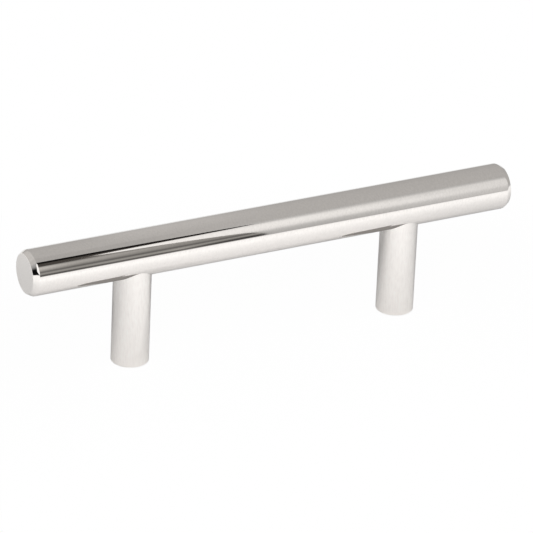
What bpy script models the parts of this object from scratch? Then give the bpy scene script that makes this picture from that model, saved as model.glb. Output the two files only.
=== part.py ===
"""T bar cabinet pull: a round grip bar on two turned posts, each held to the bar by a hidden socket screw.

Units are metres and +Z is up. The origin is the middle of the plane that both feet stand on, and +X runs
along the bar. The feet face the door, and each takes a machine screw from behind it.
"""

from math import cos, pi, radians, tan

import bmesh
import bpy

# Overall sizes
HOLE_CENTRES = 0.0762  # between the axes of the two posts
PROJECTION = 0.036  # from the door to the outer side of the bar

# Grip bar
BAR_LENGTH = 0.136
BAR_DIAMETER = 0.012
BAR_CHAMFER_LENGTH = 0.0013  # along the bar
BAR_CHAMFER_DEPTH = 0.0008  # in towards its axis
SEAT_DEPTH = 0.0032  # from the underside of the bar up to the flat floor of a post's seat
BAR_TOP_WALL = 0.0018  # metal left over the tip of a seat's drilled hole

# Posts
POST_DIAMETER = 0.0098
FOOT_EDGE_BREAK = 0.0003
SHOULDER_EDGE_BREAK = 0.0002
STUD_ROOM = 0.0006  # drilled depth past the lower end of the stud

# Machine screw hole in each foot
FOOT_HOLE_DIAMETER = 0.0033  # tapping size of an M4 thread
FOOT_HOLE_DEPTH = 0.012
FOOT_COUNTERSINK = 0.0006  # width of the cone round the mouth

# Studs: M5 socket set screws with a cup point
STUD_DIAMETER = 0.005
STUD_LENGTH = 0.012
STUD_CHAMFER = 0.0005
CUP_DIAMETER = 0.0025
SOCKET_ACROSS_FLATS = 0.0025
SOCKET_DEPTH = 0.0025
STUD_COUNTERSINK = 0.0004  # width of the cone round each stud hole's mouth

# Clearances
SEAT_GAP = 0.0003  # between a post's shoulder and the floor of its seat
SEAT_SIDE_CLEARANCE = 0.0002  # round the post in its seat
THREAD_CLEARANCE = 0.0002  # round the stud, and over its upper end

# Surfaces
NICKEL = (0.96, 0.93, 0.9)
STEEL = (0.3, 0.29, 0.28)
BAR_ROUGHNESS = 0.1
POST_ROUGHNESS = 0.14
STEEL_ROUGHNESS = 0.4

# Tool shapes
DRILL_POINT_ANGLE = radians(118)
CUP_ANGLE = radians(90)
OVERTRAVEL = 0.001  # how far a cutter starts outside the metal
BAR_SIDES = 96
POST_SIDES = 80
HOLE_SIDES = 40
SHARP_EDGE = radians(30)
MERGE_DISTANCE = 1e-7

BAR_AXIS_HEIGHT = PROJECTION - BAR_DIAMETER / 2
SEAT_HEIGHT = PROJECTION - BAR_DIAMETER + SEAT_DEPTH
SHOULDER_HEIGHT = SEAT_HEIGHT - SEAT_GAP
STUD_HOLE_DIAMETER = STUD_DIAMETER + 2 * THREAD_CLEARANCE


def cone_height(diameter, angle):
    """Height of a cone with this base and this angle between its sides."""
    return diameter / 2 / tan(angle / 2)


STUD_DRILL_POINT = cone_height(STUD_HOLE_DIAMETER, DRILL_POINT_ANGLE)
BAR_HOLE_DEPTH = BAR_DIAMETER - SEAT_DEPTH - BAR_TOP_WALL - STUD_DRILL_POINT
STUD_TOP_HEIGHT = SEAT_HEIGHT + BAR_HOLE_DEPTH - THREAD_CLEARANCE
STUD_BOTTOM_HEIGHT = STUD_TOP_HEIGHT - STUD_LENGTH
POST_HOLE_DEPTH = SHOULDER_HEIGHT - STUD_BOTTOM_HEIGHT + STUD_ROOM


def metal(name, colour, roughness):
    """A metal surface of one colour."""
    material = bpy.data.materials.new(name)
    material.use_nodes = True
    surface = material.node_tree.nodes["Principled BSDF"]
    surface.inputs["Base Color"].default_value = (*colour, 1)
    surface.inputs["Metallic"].default_value = 1
    surface.inputs["Roughness"].default_value = roughness
    material.diffuse_color = (*colour, 1)
    return material


def place(name, mesh, location=(0, 0, 0), turn=(0, 0, 0)):
    """An object with this mesh, in the scene."""
    piece = bpy.data.objects.new(name, mesh)
    piece.location = location
    piece.rotation_euler = turn
    bpy.context.scene.collection.objects.link(piece)
    return piece


def turned_mesh(name, profile, sides):
    """A solid turned about Z. The profile is (radius, height) pairs that start and end on the axis."""
    form = bmesh.new()
    points = [form.verts.new((radius, 0, height)) for radius, height in profile]
    edges = [form.edges.new(pair) for pair in zip(points, points[1:])]
    bmesh.ops.spin(
        form, geom=points + edges, cent=(0, 0, 0), axis=(0, 0, 1), angle=2 * pi, steps=sides, use_merge=True
    )
    bmesh.ops.remove_doubles(form, verts=form.verts, dist=MERGE_DISTANCE)
    bmesh.ops.recalc_face_normals(form, faces=form.faces)
    mesh = bpy.data.meshes.new(name)
    form.to_mesh(mesh)
    form.free()
    return mesh


def as_cutter(piece):
    """Marks a piece as a cutting shape, which isn't part of the object."""
    piece.hide_render = True
    piece.display_type = "WIRE"
    return piece


def drill(name, location, diameter, depth, countersink):
    """A cutter for a blind hole that runs up from this place, with a drill point and a countersunk mouth."""
    radius = diameter / 2
    mouth = radius + countersink
    profile = [
        (0, -OVERTRAVEL),
        (mouth + OVERTRAVEL, -OVERTRAVEL),
        (radius, countersink),
        (radius, depth),
        (0, depth + cone_height(diameter, DRILL_POINT_ANGLE)),
    ]
    return as_cutter(place(name, turned_mesh(name, profile, HOLE_SIDES), location))


def hexagon(name, location, across_flats, depth):
    """A cutter for a hexagon socket that runs up from this place, with its pilot drill's point."""
    form = bmesh.new()
    corner_radius = across_flats / 2 / cos(pi / 6)
    bmesh.ops.create_circle(form, cap_ends=True, segments=6, radius=corner_radius)
    bmesh.ops.translate(form, verts=form.verts, vec=(0, 0, -OVERTRAVEL))
    walls = bmesh.ops.extrude_face_region(form, geom=form.faces[:])
    upper = [part for part in walls["geom"] if isinstance(part, bmesh.types.BMVert)]
    bmesh.ops.translate(form, verts=upper, vec=(0, 0, depth + OVERTRAVEL))
    floor = next(part for part in walls["geom"] if isinstance(part, bmesh.types.BMFace))
    tip = bmesh.ops.poke(form, faces=[floor])["verts"]
    bmesh.ops.translate(form, verts=tip, vec=(0, 0, cone_height(across_flats, DRILL_POINT_ANGLE)))
    bmesh.ops.recalc_face_normals(form, faces=form.faces)
    mesh = bpy.data.meshes.new(name)
    form.to_mesh(mesh)
    form.free()
    return as_cutter(place(name, mesh, location))


def cut(piece, cutters):
    """Takes the cutters out of the piece, applies the cuts and clears the cutters away."""
    for cutter in cutters:
        removal = piece.modifiers.new(cutter.name, "BOOLEAN")
        removal.operation = "DIFFERENCE"
        removal.solver = "EXACT"
        removal.object = cutter
    bpy.context.view_layer.update()
    finished = bpy.data.meshes.new_from_object(piece.evaluated_get(bpy.context.evaluated_depsgraph_get()))
    blank = piece.data
    piece.modifiers.clear()
    piece.data = finished
    finished.name = piece.name
    bpy.data.meshes.remove(blank)
    for cutter in cutters:
        bpy.data.meshes.remove(cutter.data)


def finish(piece, material):
    """Shades the round faces smooth, keeps the turned edges crisp and gives the piece its material."""
    piece.data.shade_smooth()
    piece.data.set_sharp_from_angle(angle=SHARP_EDGE)
    piece.data.materials.clear()
    piece.data.materials.append(material)


def grip_bar(post_places):
    """The round bar, with a flat-floored seat and a tapped hole in its underside for each post."""
    radius = BAR_DIAMETER / 2
    half = BAR_LENGTH / 2
    profile = [
        (0, -half),
        (radius - BAR_CHAMFER_DEPTH, -half),
        (radius, -half + BAR_CHAMFER_LENGTH),
        (radius, half - BAR_CHAMFER_LENGTH),
        (radius - BAR_CHAMFER_DEPTH, half),
        (0, half),
    ]
    blank = turned_mesh("grip_bar", profile, BAR_SIDES)
    bar = place("grip_bar", blank, location=(0, 0, BAR_AXIS_HEIGHT), turn=(0, pi / 2, 0))
    cutters = []
    for side, x in post_places.items():
        mouth = (x, 0, SEAT_HEIGHT)
        cutters.append(seat_cutter("seat_cutter_" + side, x))
        cutters.append(
            drill("bar_drill_" + side, mouth, STUD_HOLE_DIAMETER, BAR_HOLE_DEPTH, STUD_COUNTERSINK)
        )
    cut(bar, cutters)
    return bar


def seat_cutter(name, x):
    """A flat-ended milling cutter that comes up under the bar to the height of the seat's floor."""
    radius = POST_DIAMETER / 2 + SEAT_SIDE_CLEARANCE
    start = SEAT_HEIGHT - SEAT_DEPTH - OVERTRAVEL
    profile = [(0, start), (radius, start), (radius, SEAT_HEIGHT), (0, SEAT_HEIGHT)]
    return as_cutter(place(name, turned_mesh(name, profile, POST_SIDES), (x, 0, 0)))


def post():
    """One turned post: a stud hole down from its shoulder and a screw hole up from its foot."""
    radius = POST_DIAMETER / 2
    profile = [
        (0, 0),
        (radius - FOOT_EDGE_BREAK, 0),
        (radius, FOOT_EDGE_BREAK),
        (radius, SHOULDER_HEIGHT - SHOULDER_EDGE_BREAK),
        (radius - SHOULDER_EDGE_BREAK, SHOULDER_HEIGHT),
        (0, SHOULDER_HEIGHT),
    ]
    piece = place("post", turned_mesh("post", profile, POST_SIDES))
    foot_drill = drill("foot_drill", (0, 0, 0), FOOT_HOLE_DIAMETER, FOOT_HOLE_DEPTH, FOOT_COUNTERSINK)
    stud_drill = drill(
        "stud_drill", (0, 0, SHOULDER_HEIGHT), STUD_HOLE_DIAMETER, POST_HOLE_DEPTH, STUD_COUNTERSINK
    )
    stud_drill.rotation_euler = (pi, 0, 0)
    cut(piece, [foot_drill, stud_drill])
    return piece


def stud():
    """One headless screw: chamfered ends, a hexagon socket below and a cup point above."""
    radius = STUD_DIAMETER / 2
    cup = CUP_DIAMETER / 2
    profile = [
        (0, 0),
        (radius - STUD_CHAMFER, 0),
        (radius, STUD_CHAMFER),
        (radius, STUD_LENGTH - (radius - cup)),
        (cup, STUD_LENGTH),
        (0, STUD_LENGTH - cone_height(CUP_DIAMETER, CUP_ANGLE)),
    ]
    piece = place("stud", turned_mesh("stud", profile, HOLE_SIDES))
    cut(piece, [hexagon("socket_cutter", (0, 0, 0), SOCKET_ACROSS_FLATS, SOCKET_DEPTH)])
    return piece


def copies(pattern, name, post_places, height):
    """One object for each post place, all with the pattern's mesh. The pattern itself goes."""
    made = [place(name + "_" + side, pattern.data, (x, 0, height)) for side, x in post_places.items()]
    bpy.data.objects.remove(pattern)
    return made


def main():
    for old in list(bpy.data.objects):
        bpy.data.objects.remove(old)
    post_places = {"left": -HOLE_CENTRES / 2, "right": HOLE_CENTRES / 2}

    bar = grip_bar(post_places)
    finish(bar, metal("bar_polished_nickel", NICKEL, BAR_ROUGHNESS))

    pattern = post()
    finish(pattern, metal("post_polished_nickel", NICKEL, POST_ROUGHNESS))
    posts = copies(pattern, "post", post_places, 0)

    pattern = stud()
    finish(pattern, metal("stud_steel", STEEL, STEEL_ROUGHNESS))
    studs = copies(pattern, "stud", post_places, STUD_BOTTOM_HEIGHT)

    pull = bpy.data.objects.new("cabinet_pull", None)
    bpy.context.scene.collection.objects.link(pull)
    for piece in [bar, *posts, *studs]:
        piece.parent = pull


main()
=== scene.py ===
"""Looks of the t bar cabinet pull: a polished bar on two polished posts, in a white studio."""
from math import cos, degrees, pi, radians, sin, sqrt, tan

import bmesh
import bpy
from mathutils import Matrix, Vector


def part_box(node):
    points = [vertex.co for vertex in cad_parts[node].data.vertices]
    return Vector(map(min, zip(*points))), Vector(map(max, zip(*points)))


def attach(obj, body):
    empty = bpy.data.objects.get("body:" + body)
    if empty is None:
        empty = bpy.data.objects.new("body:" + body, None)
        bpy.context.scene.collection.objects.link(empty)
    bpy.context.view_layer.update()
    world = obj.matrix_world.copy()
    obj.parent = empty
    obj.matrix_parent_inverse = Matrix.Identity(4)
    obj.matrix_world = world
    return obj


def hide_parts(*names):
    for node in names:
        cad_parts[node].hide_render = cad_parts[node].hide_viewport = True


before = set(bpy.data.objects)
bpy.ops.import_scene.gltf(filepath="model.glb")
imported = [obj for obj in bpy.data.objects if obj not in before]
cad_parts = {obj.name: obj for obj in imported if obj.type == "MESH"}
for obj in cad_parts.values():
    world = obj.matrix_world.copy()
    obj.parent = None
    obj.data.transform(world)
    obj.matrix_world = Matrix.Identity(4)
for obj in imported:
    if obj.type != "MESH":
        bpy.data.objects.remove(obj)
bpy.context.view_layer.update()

MM = 0.001

# Sizes that the frame gives, in millimetres
bar_low, bar_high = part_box("grip_bar")
post_low, post_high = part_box("post_right")
stud_low, stud_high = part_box("stud_right")
BAR_LENGTH = (bar_high.x - bar_low.x) / MM
BAR_RADIUS = (bar_high.z - bar_low.z) / 2 / MM
BAR_HEIGHT = (bar_high.z + bar_low.z) / 2 / MM
POST_X = (post_high.x + post_low.x) / 2 / MM
POST_RADIUS = (post_high.x - post_low.x) / 2 / MM
SHOULDER_HEIGHT = post_high.z / MM
STUD_BOTTOM = stud_low.z / MM
STUD_TOP = stud_high.z / MM

# Fine sizes, in millimetres. A thread's major and minor are radii.
CHAMFER_LENGTH = 1.3
CHAMFER_DEPTH = 0.8
CHAMFER_OUTER_ROUND = 1.3
CHAMFER_INNER_ROUND = 0.12
SEAT_GAP = 0.3
SEAT_SIDE_GAP = 0.14
FOOT_ROUND = 0.35
SHOULDER_BREAK = 0.2
FOOT_HOLE_DEPTH = 12.0
FOOT_HOLE_UNCUT = 1.5
FOOT_COUNTERSINK = 0.6
FOOT_THREAD = {"major": 2.0, "minor": 1.65, "pitch": 0.7}
STUD_HOLE_THREAD = {"major": 2.6, "minor": 2.2, "pitch": 0.8}
STUD_THREAD = {"major": 2.5, "minor": 2.0, "pitch": 0.8}
STUD_HOLE_ROOM = 0.6
STUD_HOLE_COUNTERSINK = 0.15
STUD_BAR_HOLE_TOP = 34.2
STUD_CHAMFER = 0.5
SOCKET_ACROSS_FLATS = 2.5
SOCKET_DEPTH = 2.5
SOCKET_COUNTERSINK = 0.15
SOCKET_FLOOR_SHARE = 0.96
SOCKET_POINT = 0.5
CUP_RADIUS = 1.25
DRILL_POINT = radians(59)

# How the meshes are made, in millimetres: rings beside each round edge, rings on the bar either side
# of a seat, how far the seat's cutter starts below the bar, and what counts as touching
SUPPORT = 0.04
SEAT_RINGS = 7
CUTTER_BELOW = 1
NEAR = 0.001
# In metres
WELD = 2e-7

BAR_SIDES = 240
POST_SIDES = 128
SEAT_SIDES = 64
STUD_SIDES = 72
ARC_STEPS = 6
CREASE_ANGLE = 32
# Places along one pitch where the thread's profile bends: crest, flank, root, flank
THREAD_PHASES = (0.0, 0.125, 0.28125, 0.4375, 0.5625, 0.6875, 0.84375)


def ring(radius, height, sides):
    return [(radius, height)] * sides


def profile_rows(points, sides):
    """Rows of a turned surface from (radius, height) points."""
    return [ring(r, z, sides) for r, z in points]


def arc(centre_r, centre_z, radius, start, stop, steps=ARC_STEPS):
    """Points of a round edge, from angle start to stop in degrees, 0 pointing outwards and 90 up."""
    angles = [radians(start + (stop - start) * i / steps) for i in range(steps + 1)]
    return [(centre_r + radius * cos(a), centre_z + radius * sin(a)) for a in angles]


def thread_share(phase):
    """How far the thread stands at a place along its pitch: 1 on the crest and 0 in the root."""
    if phase <= 0.125:
        return 1.0
    if phase < 0.4375:
        return (0.4375 - phase) / 0.3125
    if phase <= 0.6875:
        return 0.0
    return (phase - 0.6875) / 0.3125


def thread_rows(low, high, pitch, sides, radius_at):
    """Rows that climb one pitch each turn, so that the thread's edges run along them."""
    per_turn = len(THREAD_PHASES)
    turns = int((high - low) / pitch) + 3
    starts = [low - pitch + (turn + phase) * pitch for turn in range(turns) for phase in THREAD_PHASES]
    rows = []
    for start in starts:
        row = []
        for side in range(sides):
            z = min(max(start + pitch * side / sides, low), high)
            share = thread_share(((z - low) / pitch - side / sides) % 1.0)
            row.append((radius_at(z, share), z))
        rows.append(row)
    return rows, per_turn


def add_rows(mesh, rows, sides, shift=0):
    """Adds a band of faces between neighbouring rows, which climbs shift rows each turn."""
    made = []
    for row in rows:
        if all(r < 1e-9 for r, z in row):
            made.append([mesh.verts.new((0, 0, row[0][1] * MM))] * sides)
        else:
            turn = 2 * pi / sides
            made.append([
                mesh.verts.new((r * cos(i * turn) * MM, r * sin(i * turn) * MM, z * MM))
                for i, (r, z) in enumerate(row)
            ])
    last = len(rows) - 1
    for j in range(last):
        for i in range(sides):
            if i + 1 < sides:
                right, up_right = made[j][i + 1], made[j + 1][i + 1]
            else:
                right, up_right = made[min(j + shift, last)][0], made[min(j + 1 + shift, last)][0]
            corners = []
            for v in (made[j][i], right, up_right, made[j + 1][i]):
                if v not in corners:
                    corners.append(v)
            if len(corners) > 2:
                mesh.faces.new(corners)


def turned_piece(name, bands, sides):
    """A closed turned piece from bands of rows. Bands meet ring to ring."""
    mesh = bmesh.new()
    for rows, shift in bands:
        add_rows(mesh, rows, sides, shift)
    bmesh.ops.remove_doubles(mesh, verts=mesh.verts, dist=WELD)
    bmesh.ops.dissolve_degenerate(mesh, edges=mesh.edges, dist=WELD)
    loose = [v for v in mesh.verts if not v.link_faces]
    bmesh.ops.delete(mesh, geom=loose, context="VERTS")
    bmesh.ops.recalc_face_normals(mesh, faces=mesh.faces)
    data = bpy.data.meshes.new(name)
    mesh.to_mesh(data)
    mesh.free()
    piece = bpy.data.objects.new(name, data)
    bpy.context.scene.collection.objects.link(piece)
    return piece


def finish_shading(piece):
    """Smooth faces with sharp edges where the surface turns more than the crease angle."""
    mesh = bmesh.new()
    mesh.from_mesh(piece.data)
    limit = radians(CREASE_ANGLE)
    for face in mesh.faces:
        face.smooth = True
    for edge in mesh.edges:
        edge.smooth = len(edge.link_faces) == 2 and edge.calc_face_angle(0) < limit
    mesh.to_mesh(piece.data)
    mesh.free()


def bar_solid():
    """The bar with its chamfered ends, made upright and laid along X."""
    half = BAR_LENGTH / 2
    chamfer = Vector((CHAMFER_LENGTH, CHAMFER_DEPTH)).normalized()
    slope = degrees(Vector((1, 0)).angle(chamfer))
    # Round edge between barrel and chamfer, touching both
    reach = CHAMFER_OUTER_ROUND * tan(radians(slope) / 2)
    outer = arc(BAR_RADIUS - CHAMFER_OUTER_ROUND, half - CHAMFER_LENGTH - reach,
                CHAMFER_OUTER_ROUND, 0, slope)
    # Round edge between chamfer and end face
    reach_in = CHAMFER_INNER_ROUND * tan(radians(90 - slope) / 2)
    inner = arc(BAR_RADIUS - CHAMFER_DEPTH - reach_in, half - CHAMFER_INNER_ROUND,
                CHAMFER_INNER_ROUND, slope, 90)
    end = [(BAR_RADIUS, outer[0][1] - SUPPORT)] + outer + inner + [(inner[-1][0] - SUPPORT, half)]
    places = (-POST_X - SEAT_RINGS, -POST_X + SEAT_RINGS, 0, POST_X - SEAT_RINGS, POST_X + SEAT_RINGS)
    rings = [(BAR_RADIUS, x) for x in places]
    points = [(0, -half)] + [(r, -z) for r, z in reversed(end)] + rings + end + [(0, half)]
    piece = turned_piece("polished_bar", [(profile_rows(points, BAR_SIDES), 0)], BAR_SIDES)
    lay = Matrix.Translation((0, 0, BAR_HEIGHT * MM)) @ Matrix.Rotation(pi / 2, 4, "Y")
    piece.data.transform(lay)
    return piece


def internal(thread, share):
    """Radius of a hole's thread, for how far the thread stands there."""
    return thread["major"] - (thread["major"] - thread["minor"]) * share


def fade(distance, length):
    """0 at the end of a thread, 1 from a length inside it."""
    t = min(max(distance / length, 0.0), 1.0)
    return t * t * (3 - 2 * t)


def seat_cutter(x):
    """The seat and the tapped hole above it, which the post and the stud go into."""
    thread = STUD_HOLE_THREAD
    floor_z = SHOULDER_HEIGHT + SEAT_GAP
    top = STUD_BAR_HOLE_TOP
    mouth = thread["major"] + STUD_HOLE_COUNTERSINK

    def radius_at(z, share):
        body = internal(thread, share)
        body = thread["minor"] + (body - thread["minor"]) * fade(top - z, thread["pitch"])
        return max(body, mouth - (z - floor_z))

    seat_radius = POST_RADIUS + SEAT_SIDE_GAP
    start = BAR_HEIGHT - BAR_RADIUS - CUTTER_BELOW
    rows, shift = thread_rows(floor_z, top, thread["pitch"], SEAT_SIDES, radius_at)
    below = profile_rows([(0, start), (seat_radius, start), (seat_radius, floor_z), (mouth, floor_z)],
                         SEAT_SIDES)
    above = profile_rows([(thread["minor"], top), (0, top + thread["minor"] / 2)], SEAT_SIDES)
    cutter = turned_piece("seat_cutter", [(below, 0), (rows, shift), (above, 0)], SEAT_SIDES)
    cutter.data.transform(Matrix.Translation((x * MM, 0, 0)))
    return cutter


def cut(piece, cutters):
    """Takes the cutters' forms out of a piece, and removes the cutters."""
    for cutter in cutters:
        step = piece.modifiers.new("cut", "BOOLEAN")
        step.operation = "DIFFERENCE"
        step.solver = "EXACT"
        step.object = cutter
    bpy.context.view_layer.update()
    shape = piece.evaluated_get(bpy.context.evaluated_depsgraph_get())
    data = bpy.data.meshes.new_from_object(shape)
    piece.modifiers.clear()
    piece.data = data
    for cutter in cutters:
        bpy.data.objects.remove(cutter)


def smooth_barrel(piece):
    """Gives the barrel its exact normals, which the faces round the seats would otherwise bend."""
    data = piece.data
    axis_z = BAR_HEIGHT * MM
    radius = BAR_RADIUS * MM
    level, close = 0.999, radius * 0.0005
    # A zero normal leaves the corner its own
    normals = [(0.0, 0.0, 0.0)] * len(data.loops)
    for face in data.polygons:
        corners = [data.vertices[i].co for i in face.vertices]
        arms = [Vector((0, corner.y, corner.z - axis_z)) for corner in corners]
        outward = Vector((0, face.normal.y, face.normal.z))
        if outward.length < level or any(abs(arm.length - radius) > close for arm in arms):
            continue
        for loop, arm in zip(face.loop_indices, arms):
            normals[loop] = tuple(arm.normalized())
    data.normals_split_custom_set(normals)


def post(name, x):
    """A turned post: tapped hole from the foot, straight wall, shoulder, tapped hole from the top."""
    foot = FOOT_THREAD
    top = STUD_HOLE_THREAD
    foot_mouth = foot["minor"] + FOOT_COUNTERSINK

    def foot_radius(z, share):
        body = internal(foot, share)
        thread_end = FOOT_HOLE_DEPTH - FOOT_HOLE_UNCUT
        body = foot["minor"] + (body - foot["minor"]) * fade(thread_end - z, foot["pitch"])
        return max(body, foot_mouth - z)

    stud_hole_bottom = STUD_BOTTOM - STUD_HOLE_ROOM
    stud_mouth = top["major"] + STUD_HOLE_COUNTERSINK

    def stud_radius(z, share):
        body = internal(top, share)
        body = top["minor"] + (body - top["minor"]) * fade(z - stud_hole_bottom, top["pitch"])
        return max(body, stud_mouth - (SHOULDER_HEIGHT - z))

    sides = POST_SIDES
    foot_rows, foot_shift = thread_rows(0, FOOT_HOLE_DEPTH, foot["pitch"], sides, foot_radius)
    stud_rows, stud_shift = thread_rows(stud_hole_bottom, SHOULDER_HEIGHT, top["pitch"], sides,
                                        stud_radius)
    foot_tip = profile_rows([(foot["minor"], FOOT_HOLE_DEPTH),
                             (0, FOOT_HOLE_DEPTH + foot["minor"] / tan(DRILL_POINT))], sides)
    edge = arc(POST_RADIUS - FOOT_ROUND, FOOT_ROUND, FOOT_ROUND, -90, 0)
    wall = [(foot_mouth, 0), (edge[0][0] - SUPPORT, 0)] + edge
    wall += [(POST_RADIUS, FOOT_ROUND + SUPPORT), (POST_RADIUS, SHOULDER_HEIGHT - SHOULDER_BREAK),
             (POST_RADIUS - SHOULDER_BREAK, SHOULDER_HEIGHT), (stud_mouth, SHOULDER_HEIGHT)]
    stud_tip = profile_rows([(top["minor"], stud_hole_bottom),
                             (0, stud_hole_bottom - top["minor"] / tan(DRILL_POINT))], sides)
    bands = [(foot_tip, 0), (foot_rows, foot_shift), (profile_rows(wall, sides), 0),
             (stud_rows, stud_shift), (stud_tip, 0)]
    piece = turned_piece(name, bands, sides)
    piece.data.transform(Matrix.Translation((x * MM, 0, 0)))
    return piece


def hexagon_radius(side, sides):
    """Distance from the axis to a hexagonal socket's wall, along one of the sides' directions."""
    angle = (side / sides * 360) % 60 - 30
    return SOCKET_ACROSS_FLATS / 2 / cos(radians(angle))


def stud(name, x):
    """A headless set screw: cup point at the bottom, threaded shank, hexagonal socket at the top."""
    thread = STUD_THREAD
    sides = STUD_SIDES
    low, high = STUD_BOTTOM, STUD_TOP
    end_radius = thread["major"] - STUD_CHAMFER

    def radius_at(z, share):
        body = thread["minor"] + (thread["major"] - thread["minor"]) * share
        return min(body, end_radius + (z - low), end_radius + (high - z))

    rows, shift = thread_rows(low, high, thread["pitch"], sides, radius_at)
    cup = profile_rows([(0, low + CUP_RADIUS), (CUP_RADIUS, low), (end_radius, low)], sides)
    corner = SOCKET_ACROSS_FLATS / 2 / cos(radians(30))
    mouth = corner + SOCKET_COUNTERSINK
    hexagon = [hexagon_radius(i, sides) for i in range(sides)]
    socket = [ring(end_radius, high, sides), ring(mouth, high, sides),
              [(r, high - (mouth - r)) for r in hexagon],
              [(r, high - SOCKET_DEPTH) for r in hexagon],
              ring(SOCKET_ACROSS_FLATS / 2 * SOCKET_FLOOR_SHARE, high - SOCKET_DEPTH, sides),
              ring(0, high - SOCKET_DEPTH - SOCKET_POINT, sides)]
    piece = turned_piece(name, [(cup, 0), (rows, shift), (socket, 0)], sides)
    piece.data.transform(Matrix.Translation((x * MM, 0, 0)))
    return piece


# Materials

class Nodes:
    """Short calls for building a material's node tree."""

    def __init__(self, name):
        self.material = bpy.data.materials.new(name)
        self.material.use_nodes = True
        self.tree = self.material.node_tree
        self.tree.nodes.clear()
        self.output = self.tree.nodes.new("ShaderNodeOutputMaterial")

    def add(self, kind, settings=None, **inputs):
        node = self.tree.nodes.new(kind)
        for key, value in (settings or {}).items():
            setattr(node, key, value)
        for key, value in inputs.items():
            self.put(node.inputs[key.replace("_", " ")], value)
        return node

    def put(self, socket, value):
        if isinstance(value, bpy.types.NodeSocket):
            self.tree.links.new(value, socket)
        else:
            socket.default_value = value

    def math(self, operation, *values):
        node = self.add("ShaderNodeMath", {"operation": operation})
        for socket, value in zip(node.inputs, values):
            self.put(socket, value)
        return node.outputs[0]

    def vector(self, operation, *values):
        node = self.add("ShaderNodeVectorMath", {"operation": operation})
        for socket, value in zip(node.inputs, values):
            self.put(socket, value)
        return node.outputs["Value" if operation == "LENGTH" else "Vector"]

    def spread(self, value, low, high):
        """Takes a value from 0..1 to low..high."""
        node = self.add("ShaderNodeMapRange", None, Value=value)
        node.inputs["To Min"].default_value = low
        node.inputs["To Max"].default_value = high
        return node.outputs["Result"]

    def noise(self, vector, scale, detail=2.0, roughness=0.5):
        node = self.add("ShaderNodeTexNoise", {"noise_dimensions": "3D"}, Vector=vector, Scale=scale,
                        Detail=detail, Roughness=roughness)
        return node.outputs["Fac"]

    def object_place(self):
        return self.add("ShaderNodeTexCoord").outputs["Object"]


def tinted(nodes, colour, level):
    """A colour, a little lighter and darker by a level round 1."""
    node = nodes.add("ShaderNodeVectorMath", {"operation": "SCALE"})
    node.inputs[0].default_value = colour
    nodes.put(node.inputs["Scale"], level)
    return node.outputs["Vector"]


# What all finishes share, as the noise takes it
FINE_MARKS = {"scale": 1.0, "detail": 3.0, "roughness": 0.6}
SMUDGES = {"scale": 140.0, "detail": 3.0, "roughness": 0.55}


def metal(name, colour, lines, waves, finish):
    """Polished or machined metal. lines makes the vector that fine tool or polishing marks follow."""
    nodes = Nodes(name)
    place = nodes.object_place()
    fine = nodes.noise(lines(nodes, place), **FINE_MARKS)
    broad = nodes.noise(place, waves["scale"], detail=1.0)
    smudge = nodes.noise(place, **SMUDGES)
    level = nodes.math("ADD", nodes.spread(fine, 1 - finish["tone"], 1 + finish["tone"]),
                       nodes.spread(smudge, -finish["smudge"], finish["smudge"]))
    rough = nodes.math("ADD", nodes.spread(fine, -finish["grain"], finish["grain"]),
                       nodes.spread(smudge, finish["rough"][0], finish["rough"][1]))
    bump_wave = nodes.add("ShaderNodeBump", None, Strength=1.0, Distance=waves["height"], Height=broad)
    bump = nodes.add("ShaderNodeBump", None, Strength=1.0, Distance=finish["line_height"], Height=fine,
                     Normal=bump_wave.outputs["Normal"])
    shader = nodes.add("ShaderNodeBsdfPrincipled", None, Metallic=1.0, Roughness=rough,
                       Normal=bump.outputs["Normal"])
    shader.inputs["Specular Tint"].default_value = (finish["rim"], finish["rim"], finish["rim"], 1.0)
    nodes.put(shader.inputs["Base Color"], tinted(nodes, colour, level))
    nodes.put(nodes.output.inputs["Surface"], shader.outputs[0])
    return nodes.material


def stretched(scales):
    """Marks that are the finer along an axis, the larger its scale."""
    def build(nodes, place):
        return nodes.vector("MULTIPLY", place, scales)
    return build


def rings_about(centre, along, scale):
    """Concentric tool marks round a point on a face, across the two axes that along leaves."""
    keep = tuple(0.0 if axis == along else 1.0 for axis in "XYZ")

    def build(nodes, place):
        offset = nodes.vector("SUBTRACT", place, centre)
        flat = nodes.vector("MULTIPLY", offset, keep)
        distance = nodes.vector("LENGTH", flat)
        drift = nodes.vector("MULTIPLY", flat, (RING_DRIFT,) * 3)
        radial = nodes.add("ShaderNodeCombineXYZ", None, X=nodes.math("MULTIPLY", distance, scale))
        return nodes.vector("ADD", radial.outputs[0], drift)
    return build


NICKEL = (0.965, 0.928, 0.895)
# The posts take a lighter copy of the bar's nickel: painted light that makes the posts' reflections
# brighter
POST_NICKEL_PAINTED_LIGHTER = (0.99, 0.952, 0.918)
BORE_NICKEL = (0.72, 0.69, 0.66)
SCREW_STEEL = (0.3, 0.29, 0.28)
# Finishes: how much the marks change the tone, how much smudges do, how much the marks change the
# roughness, the roughness between smudges and on them, the marks' height in metres, and how much of
# the light the metal keeps near grazing angles
POLISH = {"tone": 0.1, "smudge": 0.012, "grain": 0.006, "rough": (0.034, 0.052),
          "line_height": 4e-7, "rim": 0.88}
POST_POLISH = {"tone": 0.1, "smudge": 0.012, "grain": 0.02, "rough": (0.06, 0.1),
               "line_height": 6e-7, "rim": 0.82}
FACED = {"tone": 0.02, "smudge": 0.01, "grain": 0.03, "rough": (0.16, 0.24),
         "line_height": 1.5e-6, "rim": 1.0}
MACHINED = {"tone": 0.08, "smudge": 0.04, "grain": 0.05, "rough": (0.3, 0.42),
            "line_height": 3e-6, "rim": 1.0}
OILED = {"tone": 0.12, "smudge": 0.1, "grain": 0.05, "rough": (0.34, 0.46),
         "line_height": 3e-6, "rim": 1.0}
SLOW_WAVES = {"scale": 90.0, "height": 4e-6}
STILL = {"scale": 200.0, "height": 1e-6}
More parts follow.
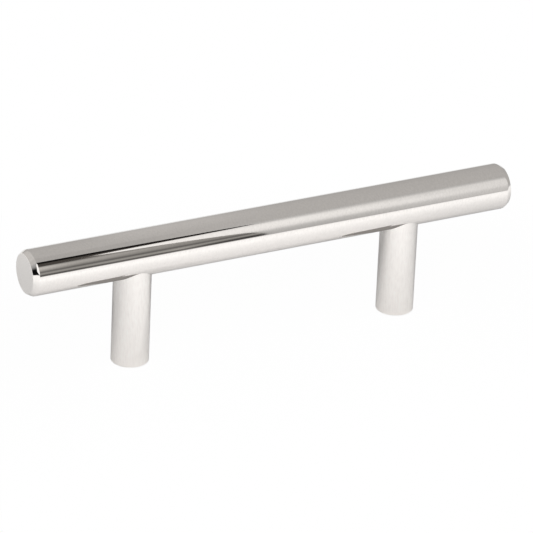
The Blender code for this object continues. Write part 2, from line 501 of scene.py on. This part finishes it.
# Marks to a metre along each axis, and rings to a metre
BAR_MARKS = (2200.0, 1400.0, 1400.0)
POST_MARKS = (2400.0, 2400.0, 500.0)
BORE_MARKS = (300.0, 300.0, 5000.0)
SCREW_MARKS = (400.0, 400.0, 4000.0)
BAR_END_RINGS = 6500.0
FOOT_RINGS = 6000.0
RING_DRIFT = 60.0

# Places of a piece's materials
WALL, FACE, BORE = range(3)
# In millimetres: a flat end starts this far outside the foot's thread, and a bar's end counts as wall
# from this far inside its chamfer
FACE_START = 0.4
CHAMFER_MARGIN = 1
# Share of the bar's radius from which a face is on its wall, and a face's lift that counts as flat
ON_WALL = 0.99
FLAT = 0.99


def bar_materials():
    barrel = metal("bar_barrel", NICKEL, stretched(BAR_MARKS), SLOW_WAVES, POLISH)
    rings = rings_about((0, 0, BAR_HEIGHT * MM), "X", BAR_END_RINGS)
    end = metal("bar_end_face", NICKEL, rings, STILL, FACED)
    seat = metal("bar_seat", BORE_NICKEL, stretched(BORE_MARKS), STILL, MACHINED)
    return [barrel, end, seat]


def post_materials(x):
    wall = metal("post_wall", POST_NICKEL_PAINTED_LIGHTER, stretched(POST_MARKS), SLOW_WAVES, POST_POLISH)
    face = metal("post_face", POST_NICKEL_PAINTED_LIGHTER, rings_about((x * MM, 0, 0), "Z", FOOT_RINGS), STILL, FACED)
    bore = metal("post_bore", BORE_NICKEL, stretched(BORE_MARKS), STILL, MACHINED)
    return [wall, face, bore]


def dress(piece, materials, kind_of):
    """Gives each face the material of its kind."""
    for material in materials:
        piece.data.materials.append(material)
    for face in piece.data.polygons:
        face.material_index = kind_of(face)


def bar_kind(face):
    half = BAR_LENGTH / 2 * MM
    c = face.center
    reach = sqrt(c.y ** 2 + (c.z - BAR_HEIGHT * MM) ** 2)
    if abs(abs(c.x) - half) < NEAR * MM:
        return FACE
    on_chamfer = abs(c.x) > half - (CHAMFER_LENGTH + CHAMFER_MARGIN) * MM
    if reach > BAR_RADIUS * MM * ON_WALL or on_chamfer:
        return WALL
    return BORE


def post_kind(x):
    def kind(face):
        c = face.center
        reach = sqrt((c.x - x * MM) ** 2 + c.y ** 2)
        if reach > (POST_RADIUS - FOOT_ROUND) * MM:
            return WALL
        flat = abs(face.normal.z) > FLAT and reach > (FOOT_THREAD["minor"] + FACE_START) * MM
        if flat and (c.z < NEAR * MM or c.z > (SHOULDER_HEIGHT - NEAR) * MM):
            return FACE
        return BORE
    return kind


def ready(piece, node):
    """Puts a piece in the place of a CAD node."""
    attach(piece, "root")
    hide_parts(node)


bar = bar_solid()
cut(bar, [seat_cutter(-POST_X), seat_cutter(POST_X)])
finish_shading(bar)
smooth_barrel(bar)
dress(bar, bar_materials(), bar_kind)
ready(bar, "grip_bar")

steel = metal("stud_steel", SCREW_STEEL, stretched(SCREW_MARKS), STILL, OILED)
for side, x in (("left", -POST_X), ("right", POST_X)):
    turned = post("polished_post_" + side, x)
    finish_shading(turned)
    dress(turned, post_materials(x), post_kind(x))
    ready(turned, "post_" + side)
    screw = stud("set_screw_" + side, x)
    finish_shading(screw)
    screw.data.materials.append(steel)
    ready(screw, "stud_" + side)


# Camera, at the photograph's angle: angles in radians, places in millimetres

CAMERA_AZIMUTH = -0.4848
CAMERA_ELEVATION = 0.4654
CAMERA_ROLL = 0.0448
CAMERA_DISTANCE = 1308.93
CAMERA_SHIFT = (0.1016, 1.9143)
CAMERA_TARGET = Vector((0, 0, 17))
FOCAL_PIXELS = 5112.86
IMAGE_PIXELS = 533
SENSOR = 36.0
# In metres
CLIP = (0.05, 50)


def add_camera():
    a, e = CAMERA_AZIMUTH, CAMERA_ELEVATION
    back = Vector((sin(a) * cos(e), -cos(a) * cos(e), sin(e)))
    level = Vector((cos(a), sin(a), 0))
    up = back.cross(level)
    right = cos(CAMERA_ROLL) * level + sin(CAMERA_ROLL) * up
    top = -sin(CAMERA_ROLL) * level + cos(CAMERA_ROLL) * up
    place = CAMERA_TARGET + back * CAMERA_DISTANCE + right * CAMERA_SHIFT[0] + top * CAMERA_SHIFT[1]
    data = bpy.data.cameras.new("camera")
    data.sensor_width = SENSOR
    data.lens = SENSOR * FOCAL_PIXELS / IMAGE_PIXELS
    data.clip_start, data.clip_end = CLIP
    camera = bpy.data.objects.new("camera", data)
    bpy.context.scene.collection.objects.link(camera)
    turn = Matrix((right, top, back)).transposed().to_4x4()
    camera.matrix_world = Matrix.Translation(place * MM) @ turn
    bpy.context.scene.camera = camera


add_camera()


# Studio
#
# The metal is a mirror, so most of its look is what stands round it. The cards stand upright in front
# of the object, and only the metal shows them. Their outlines are (x, z) points in metres. A stop is a
# place or height in metres and the brightness there, and a card's stops are spread over a ramp from 0
# to a named end. A slope, for limited(), is two places in metres, and the values that a level has up
# to the first and from the second on.

WHITE = (1.0, 1.0, 1.0)
DAYLIGHT = 0.297
# Lamps: name, place, point they face, diameter in metres, power in watts
LAMPS = (
    ("key", (-0.279, -0.419, 0.412), (0.074, -0.095, 0), 0.237, 1.025),
    ("top", (0.002, -0.234, 0.1), (-0.011, -0.245, 0), 0.464, 0.447),
)

CARD_TOP = 0.58
CARD_LEFT = -0.21
CARD_STOPS_TOP = 0.6

FRONT_LIGHT_Y = -0.212
FRONT_LIGHT_TINT = (1.0, 0.995, 0.985)
FRONT_LIGHT_LEFT = CARD_LEFT - 0.01
FRONT_LIGHT_RIGHT = 1.4
FRONT_LIGHT_FOOT = 0.0313
FRONT_LIGHT_OUTLINE = (
    (FRONT_LIGHT_LEFT, FRONT_LIGHT_FOOT), (0.155, FRONT_LIGHT_FOOT), (0.165, FRONT_LIGHT_FOOT - 0.0015),
    (0.172, FRONT_LIGHT_FOOT - 0.004), (FRONT_LIGHT_RIGHT, FRONT_LIGHT_FOOT - 0.004),
    (FRONT_LIGHT_RIGHT, CARD_TOP), (FRONT_LIGHT_LEFT, CARD_TOP),
)
FRONT_LIGHT_STOPS = (
    (0.05, 0.0), (0.083, 0.052), (0.102, 0.112), (0.122, 0.23), (0.144, 0.355), (0.2, 0.46),
    (0.3, 0.495), (0.38, 0.445), (0.436, 0.29), (0.58, 0.0),
)
FRONT_LIGHT_FALLS_RIGHT = (0.085, 0.215, 1.0, 0.32)
FRONT_CLOTH_GROWS_RIGHT = (0.105, 0.175, 0.44, 0.56)
FRONT_CLOTH_FADES_UP = (0.28, 0.46, 1.0, 0.0)

CHARCOAL_Y = -0.198
CHARCOAL_TINT = (1.03, 1.0, 0.955)
CHARCOAL_FOOT = 0.0328
CHARCOAL_TOP = 0.262
CHARCOAL_OUTLINE = (
    (CARD_LEFT, CHARCOAL_FOOT), (0.0845, CHARCOAL_FOOT), (0.0868, 0.09), (0.0895, 0.131), (0.0885, 0.15),
    (0.0875, 0.18), (0.0865, 0.205), (0.086, 0.227), (0.084, 0.248), (0.083, CHARCOAL_TOP),
    (CARD_LEFT, CHARCOAL_TOP),
)
CHARCOAL_STOPS_TOP = 0.3
CHARCOAL_STOPS = (
    (0.029, 0.12), (0.051, 0.112), (0.066, 0.32), (0.083, 0.275), (0.102, 0.11), (0.122, 0.18),
    (0.145, 0.29), (0.19, 0.385), (0.228, 0.32), (0.25, 0.12), (0.262, 0.06),
)
# Across the card's foot: half of what its brightness is multiplied by
CHARCOAL_FOOT_STOPS_RIGHT = 0.1
CHARCOAL_FOOT_STOPS = (
    (0.018, 0.4), (0.026, 0.41), (0.035, 0.49), (0.045, 0.47), (0.05, 0.46), (0.058, 0.64),
    (0.067, 0.3), (0.08, 0.18),
)
CHARCOAL_FOOT_ENDS = (0.062, 0.08, 0.0, 1.0)
# The part above the foot is paler left of a slanting line, and a little darker at its right edge
CHARCOAL_LEFT_SLANT = 0.22
CHARCOAL_LEFT_PALER = (-0.0085, 0.0045, 1.4, 1.0)
CHARCOAL_LEFT_STARTS = (0.088, 0.115, 0.0, 1.0)
CHARCOAL_RIGHT_DARKER = ((0.045, 0.06, 1.0, 0.91), (0.064, 0.074, 1.0, 0.88))
CHARCOAL_RIGHT_STARTS = (0.135, 0.15, 0.0, 1.0)
CHARCOAL_CORNER_GROWS_RIGHT = (0.066, 0.081, 0.0, 0.17)
CHARCOAL_CORNER_GROWS_UP = (0.232, 0.246, 0.0, 1.0)

CLOTH_TINT = (1.1, 1.0, 0.9)
CLOTH_OUTLINE = (
    (CARD_LEFT, CHARCOAL_TOP), (0.083, CHARCOAL_TOP), (0.082, 0.275), (0.0872, 0.301), (0.1035, 0.325),
    (0.121, 0.338), (0.142, 0.352), (0.163, 0.374), (0.184, 0.403), (0.196, 0.436), (0.2, 0.465),
    (0.197, 0.51), (0.19, 0.55), (0.19, CARD_TOP), (CARD_LEFT, CARD_TOP),
)
CLOTH_DARKENS_UP = (0.355, 0.415, 0.055, 0.006)
CLOTH_CORNER_GROWS_RIGHT = (0.072, 0.082, 0.0, 0.17)
CLOTH_CORNER_FADES_UP = (0.278, 0.292, 1.0, 0.0)

LEFT_STRIP_Y = CHARCOAL_Y + 0.006
LEFT_STRIP_OUTLINE = ((-0.19, 0.4), (-0.19, 0.13), (-0.05, 0.07), (-0.004, 0.07), (0.0, 0.4))
LEFT_FLAG_Y = CHARCOAL_Y + 0.003
LEFT_FLAG_OUTLINE = ((-0.6, 0.0), (-0.02, 0.0), (-0.02, 0.6), (-0.6, 0.6))
LEFT_FLAG_STOPS = (
    (0.058, 1.0), (0.068, 0.004), (0.19, 0.004), (0.22, 0.08), (0.263, 0.2), (0.324, 0.32), (0.53, 0.43),
)

TENT_COLOUR = (0.435, 0.428, 0.42)
TENT_RADIUS = 2.6
TENT_COLUMNS = 96
TENT_ROWS = 32
TENT_LOWEST = -2
TENT_FALLS_RIGHT = (-0.5, 0.0, 1.25, 1.0)
# A paler stretch and a darker one on the right, which the top of the bar shows along its left half
TENT_PALER = ((0.95, 0.985, 0.0, 1.0), (1.02, 1.1, 0.14, 0.0))
TENT_PALER_END = (1.1, 1.17, 0.0, -0.03)
TENT_PALER_GROWS_BACK = (0.0, 2.0, 0.0, 1.0)
TENT_DARKER = (0.975, 1.02, 0.09, 0.0)
TENT_DARKER_FADES_BACK = (-0.05, 0.3, 1.0, 0.0)

# Sleeves round the posts, which paint a dark reflection of the post into the bar: how far off the wall
# and the foot they are, and how far below the bar
TIGHT_SLEEVE_GAP = 0.03
WIDE_SLEEVE_GAP = 1.6
SLEEVE_FOOT = 0.3
SLEEVE_BELOW_BAR = 0.2
# Glow of the sleeves' outside: the painted dark reflection of the post, which only the metal shows
PAINTED_REFLECTION_COLOUR = (0.27, 0.26, 0.25)

TABLE_COLOUR = (0.93, 0.93, 0.93)
TABLE_REACH = 3.0
TABLE_DROP = 0.00005
# Share of the table's own white, near the object and far from it, for the camera and for the metal
WHITE_TO_CAMERA = (0.04, 0.09, 0.98, 1.0)
WHITE_TO_CAMERA_OVAL = (0.65, 1.0, 0.0)
WHITE_TO_METAL = (0.062, 0.192, 0.0, 1.0)
# The white that the metal sees falls off to the right in two steps: painted shade on the table's right,
# seen only in the metal
PAINTED_GLOW_FALLS_RIGHT = ((0.05, 0.15, 1.0, 0.86), (0.28, 0.45, 1.0, 0.25))
# Soft shade on the table right of the left post, which only the metal shows
POST_SHADOW_PLACE = (-0.021, -0.006, 0)
POST_SHADOW_OVAL = (0.6, 1.0, 0.0)
POST_SHADOW = (0.003, 0.012, 0.1, 0.0)


def limited(nodes, value, slope, smooth=True):
    """Goes from the first level to the last as a value goes from start to stop, and no further."""
    start, stop, first, last = slope
    kind = "SMOOTHSTEP" if smooth else "LINEAR"
    node = nodes.add("ShaderNodeMapRange", {"interpolation_type": kind}, Value=value)
    for name, number in (("From Min", start), ("From Max", stop), ("To Min", first), ("To Max", last)):
        node.inputs[name].default_value = number
    return node.outputs["Result"]


def ramp_along(nodes, value, stops, high):
    """Brightness along a value, from stops between 0 and high."""
    share = nodes.add("ShaderNodeMapRange", None, Value=value)
    share.inputs["From Min"].default_value = 0.0
    share.inputs["From Max"].default_value = high
    ramp = nodes.add("ShaderNodeValToRGB")
    elements = ramp.color_ramp.elements
    while len(elements) < len(stops):
        elements.new(0.5)
    for element, (place, level) in zip(elements, stops):
        element.position = place / high
        element.color = (level, level, level, 1.0)
    nodes.put(ramp.inputs["Fac"], share.outputs["Result"])
    return ramp.outputs["Color"]


def blend(nodes, first, last, share):
    """A value that goes from first to last as the share goes from 0 to 1."""
    node = nodes.add("ShaderNodeMix", {"data_type": "FLOAT"})
    nodes.put(node.inputs[0], share)
    nodes.put(node.inputs[2], first)
    nodes.put(node.inputs[3], last)
    return node.outputs[0]


def axes(nodes):
    """How far right, how far back and how high a point of a stage piece is, in metres."""
    split = nodes.add("ShaderNodeSeparateXYZ", None, Vector=nodes.object_place())
    return split.outputs["X"], split.outputs["Y"], split.outputs["Z"]


def shine(nodes, level, tint):
    """Makes a material glow at a level, in a tint, which is three shares or a socket."""
    colour = tint if isinstance(tint, bpy.types.NodeSocket) else (*tint, 1.0)
    shader = nodes.add("ShaderNodeEmission", None, Strength=level, Color=colour)
    nodes.put(nodes.output.inputs["Surface"], shader.outputs[0])
    return nodes.material


def mixed_shaders(nodes, share, first, last):
    """Shows the first shader where the share is 0 and the last where it is 1."""
    mix = nodes.add("ShaderNodeMixShader")
    nodes.put(mix.inputs[0], share)
    nodes.put(mix.inputs[1], first.outputs[0])
    nodes.put(mix.inputs[2], last.outputs[0])
    nodes.put(nodes.output.inputs["Surface"], mix.outputs[0])


def seen_by_metal_only(piece):
    piece.visible_camera = False
    piece.visible_diffuse = False
    piece.visible_shadow = False
    piece.visible_transmission = False
    piece.visible_volume_scatter = False


def stage_piece(name, mesh, material):
    """A piece of the studio from a finished mesh, which it uses up."""
    data = bpy.data.meshes.new(name)
    mesh.to_mesh(data)
    mesh.free()
    data.materials.append(material)
    piece = bpy.data.objects.new(name, data)
    bpy.context.scene.collection.objects.link(piece)
    return piece


def flat_piece(name, corners, material):
    """A flat piece of the studio from its corner points, in metres."""
    mesh = bmesh.new()
    mesh.faces.new([mesh.verts.new(c) for c in corners])
    return stage_piece(name, mesh, material)


def add_card(name, outline, y, material):
    """An upright card in front of the object."""
    seen_by_metal_only(flat_piece(name, [(x, y, z) for x, z in outline], material))


def add_front_light():
    """A wide soft light. It glows at a middle height, most towards its left, over a paler cloth."""
    nodes = Nodes("front_light")
    across, _, height = axes(nodes)
    grey = TENT_COLOUR[1]
    light = ramp_along(nodes, height, FRONT_LIGHT_STOPS, CARD_STOPS_TOP)
    falling = limited(nodes, across, FRONT_LIGHT_FALLS_RIGHT)
    cloth = limited(nodes, across, FRONT_CLOTH_GROWS_RIGHT)
    fading = limited(nodes, height, FRONT_CLOTH_FADES_UP)
    over_grey = nodes.math("MULTIPLY", nodes.math("SUBTRACT", cloth, grey), fading)
    level = nodes.math("ADD", nodes.math("MULTIPLY", light, falling), nodes.math("ADD", over_grey, grey))
    add_card("front_light", FRONT_LIGHT_OUTLINE, FRONT_LIGHT_Y, shine(nodes, level, FRONT_LIGHT_TINT))


def add_charcoal_card():
    """A dark card with two paler stripes."""
    nodes = Nodes("charcoal_card")
    across, _, height = axes(nodes)
    level = ramp_along(nodes, height, CHARCOAL_STOPS, CHARCOAL_STOPS_TOP)
    foot = ramp_along(nodes, across, CHARCOAL_FOOT_STOPS, CHARCOAL_FOOT_STOPS_RIGHT)
    foot = nodes.math("MULTIPLY", foot, 2.0)
    slant = nodes.math("SUBTRACT", across, nodes.math("MULTIPLY", height, CHARCOAL_LEFT_SLANT))
    left = limited(nodes, slant, CHARCOAL_LEFT_PALER, smooth=False)
    inner, outer = CHARCOAL_RIGHT_DARKER
    right = nodes.math("MULTIPLY", limited(nodes, across, inner), limited(nodes, across, outer))
    for first, last, slope in ((foot, 1.0, CHARCOAL_FOOT_ENDS), (1.0, left, CHARCOAL_LEFT_STARTS),
                               (1.0, right, CHARCOAL_RIGHT_STARTS)):
        level = nodes.math("MULTIPLY", level, blend(nodes, first, last, limited(nodes, height, slope)))
    corner = nodes.math("MULTIPLY", limited(nodes, across, CHARCOAL_CORNER_GROWS_RIGHT),
                        limited(nodes, height, CHARCOAL_CORNER_GROWS_UP))
    level = nodes.math("ADD", level, corner)
    add_card("charcoal_card", CHARCOAL_OUTLINE, CHARCOAL_Y, shine(nodes, level, CHARCOAL_TINT))


def add_black_cloth():
    """A black cloth above the charcoal card, with a slanting edge."""
    nodes = Nodes("black_cloth")
    across, _, height = axes(nodes)
    corner = nodes.math("MULTIPLY", limited(nodes, across, CLOTH_CORNER_GROWS_RIGHT),
                        limited(nodes, height, CLOTH_CORNER_FADES_UP))
    level = nodes.math("ADD", limited(nodes, height, CLOTH_DARKENS_UP), corner)
    add_card("black_cloth", CLOTH_OUTLINE, CHARCOAL_Y, shine(nodes, level, CLOTH_TINT))


def add_left_cards():
    """A white strip and a black flag on the left, which only the left end's edges show."""
    strip = shine(Nodes("left_strip_light"), 1.0, WHITE)
    add_card("left_strip", LEFT_STRIP_OUTLINE, LEFT_STRIP_Y, strip)
    nodes = Nodes("left_flag_cloth")
    grey = ramp_along(nodes, axes(nodes)[2], LEFT_FLAG_STOPS, CARD_STOPS_TOP)
    add_card("left_flag", LEFT_FLAG_OUTLINE, LEFT_FLAG_Y, shine(nodes, 1.0, grey))


def tent_cloth():
    """A grey that changes softly to the right and towards the back."""
    nodes = Nodes("tent_cloth")
    across, back, _ = axes(nodes)
    level = limited(nodes, across, TENT_FALLS_RIGHT)
    starts, ends = TENT_PALER
    paler = nodes.math("MULTIPLY", limited(nodes, across, starts), limited(nodes, across, ends))
    paler = nodes.math("ADD", paler, limited(nodes, across, TENT_PALER_END))
    paler = nodes.math("MULTIPLY", paler, limited(nodes, back, TENT_PALER_GROWS_BACK, smooth=False))
    darker = nodes.math("MULTIPLY", limited(nodes, across, TENT_DARKER),
                        limited(nodes, back, TENT_DARKER_FADES_BACK))
    shade = nodes.math("SUBTRACT", nodes.math("ADD", 1.0, paler), darker)
    return shine(nodes, nodes.math("MULTIPLY", level, shade), TENT_COLOUR)


def add_tent():
    """A grey tent over the table."""
    mesh = bmesh.new()
    rings = []
    for row in range(TENT_ROWS + 1):
        elevation = radians(TENT_LOWEST + (90 - TENT_LOWEST) * row / TENT_ROWS)
        reach, height = TENT_RADIUS * cos(elevation), TENT_RADIUS * sin(elevation)
        turns = [2 * pi * column / TENT_COLUMNS for column in range(TENT_COLUMNS)]
        rings.append([mesh.verts.new((reach * cos(a), reach * sin(a), height)) for a in turns])
    for low, high in zip(rings, rings[1:]):
        for i in range(TENT_COLUMNS):
            k = (i + 1) % TENT_COLUMNS
            mesh.faces.new((low[i], low[k], high[k], high[i]))
    seen_by_metal_only(stage_piece("grey_tent", mesh, tent_cloth()))


def add_painted_reflection_sleeves(name, x):
    """Two sleeves round a post, dark outside and clear inside, so that the bar shows the post dark: a
    painted dark reflection of the post.
    """
    joint_front = BAR_HEIGHT - sqrt(BAR_RADIUS ** 2 - POST_RADIUS ** 2)
    below_bar = BAR_HEIGHT - BAR_RADIUS - SLEEVE_BELOW_BAR
    bands = []
    for gap, top in ((TIGHT_SLEEVE_GAP, joint_front), (WIDE_SLEEVE_GAP, below_bar)):
        radius = POST_RADIUS + gap
        bands.append((profile_rows([(radius, SLEEVE_FOOT), (radius, top)], POST_SIDES), 0))
    sleeves = turned_piece(name, bands, POST_SIDES)
    sleeves.data.transform(Matrix.Translation((x * MM, 0, 0)))
    finish_shading(sleeves)
    nodes = Nodes(name)
    dark = nodes.add("ShaderNodeEmission", None, Strength=1.0)
    dark.inputs["Color"].default_value = (*PAINTED_REFLECTION_COLOUR, 1.0)
    inside = nodes.add("ShaderNodeNewGeometry").outputs["Backfacing"]
    mixed_shaders(nodes, inside, dark, nodes.add("ShaderNodeBsdfTransparent"))
    sleeves.data.materials.append(nodes.material)
    seen_by_metal_only(sleeves)


def add_table():
    """A white matt table. The camera sees mostly its own white, and all rays see the shadow."""
    nodes = Nodes("white_table")
    path = nodes.add("ShaderNodeLightPath")
    to_camera = path.outputs["Is Camera Ray"]
    to_metal = nodes.math("MAXIMUM", path.outputs["Is Glossy Ray"], path.outputs["Is Transmission Ray"])
    place = nodes.object_place()
    oval = nodes.vector("MULTIPLY", place, WHITE_TO_CAMERA_OVAL)
    for_camera = limited(nodes, nodes.vector("LENGTH", oval), WHITE_TO_CAMERA)
    for_metal = limited(nodes, nodes.vector("LENGTH", place), WHITE_TO_METAL)
    # Painted shade: less white glow towards the right, for the metal only
    for slope in PAINTED_GLOW_FALLS_RIGHT:
        for_metal = nodes.math("MULTIPLY", for_metal, limited(nodes, axes(nodes)[0], slope))
    white_share = nodes.math("ADD", nodes.math("MULTIPLY", to_camera, for_camera),
                             nodes.math("MULTIPLY", to_metal, for_metal))
    apart = nodes.vector("SUBTRACT", place, POST_SHADOW_PLACE)
    apart = nodes.vector("MULTIPLY", apart, POST_SHADOW_OVAL)
    shadow = limited(nodes, nodes.vector("LENGTH", apart), POST_SHADOW)
    level = nodes.math("SUBTRACT", 1.0, nodes.math("MULTIPLY", to_metal, shadow))
    matt = nodes.add("ShaderNodeBsdfDiffuse", None, Color=tinted(nodes, TABLE_COLOUR, level))
    mixed_shaders(nodes, white_share, matt, nodes.add("ShaderNodeEmission", None, Strength=1.0))
    reach, drop = TABLE_REACH, -TABLE_DROP
    flat_piece("table", [(-reach, -reach, drop), (reach, -reach, drop), (reach, reach, drop),
                         (-reach, reach, drop)], nodes.material)


def add_world():
    """Soft daylight from all sides, which the camera and the metal see as plain white."""
    world = bpy.data.worlds.new("studio")
    bpy.context.scene.world = world
    world.use_nodes = True
    tree = world.node_tree
    tree.nodes.clear()
    output = tree.nodes.new("ShaderNodeOutputWorld")
    path = tree.nodes.new("ShaderNodeLightPath")
    soft = tree.nodes.new("ShaderNodeBackground")
    white = tree.nodes.new("ShaderNodeBackground")
    for sky, strength in ((soft, DAYLIGHT), (white, 1.0)):
        sky.inputs["Color"].default_value = (*WHITE, 1.0)
        sky.inputs["Strength"].default_value = strength
    seen = path.outputs["Is Camera Ray"]
    for name in ("Is Glossy Ray", "Is Transmission Ray"):
        either = tree.nodes.new("ShaderNodeMath")
        either.operation = "MAXIMUM"
        tree.links.new(seen, either.inputs[0])
        tree.links.new(path.outputs[name], either.inputs[1])
        seen = either.outputs[0]
    mix = tree.nodes.new("ShaderNodeMixShader")
    tree.links.new(seen, mix.inputs[0])
    tree.links.new(soft.outputs[0], mix.inputs[1])
    tree.links.new(white.outputs[0], mix.inputs[2])
    tree.links.new(mix.outputs[0], output.inputs["Surface"])


def add_lamp(name, place, facing, size, power):
    """A round soft lamp, which lights the table and the object but isn't seen in the metal."""
    data = bpy.data.lights.new(name, "AREA")
    data.shape = "DISK"
    data.size = size
    data.energy = power
    data.color = WHITE
    lamp = bpy.data.objects.new(name, data)
    bpy.context.scene.collection.objects.link(lamp)
    lamp.location = place
    lamp.rotation_mode = "QUATERNION"
    lamp.rotation_quaternion = (Vector(place) - Vector(facing)).to_track_quat("Z", "Y")
    lamp.visible_glossy = False
    lamp.visible_camera = False


add_front_light()
add_charcoal_card()
add_black_cloth()
add_left_cards()
add_tent()
add_painted_reflection_sleeves("post_shade_left", -POST_X)
add_painted_reflection_sleeves("post_shade_right", POST_X)
add_table()
add_world()
for lamp in LAMPS:
    add_lamp(*lamp)

bpy.context.scene.view_settings.view_transform = "Standard"
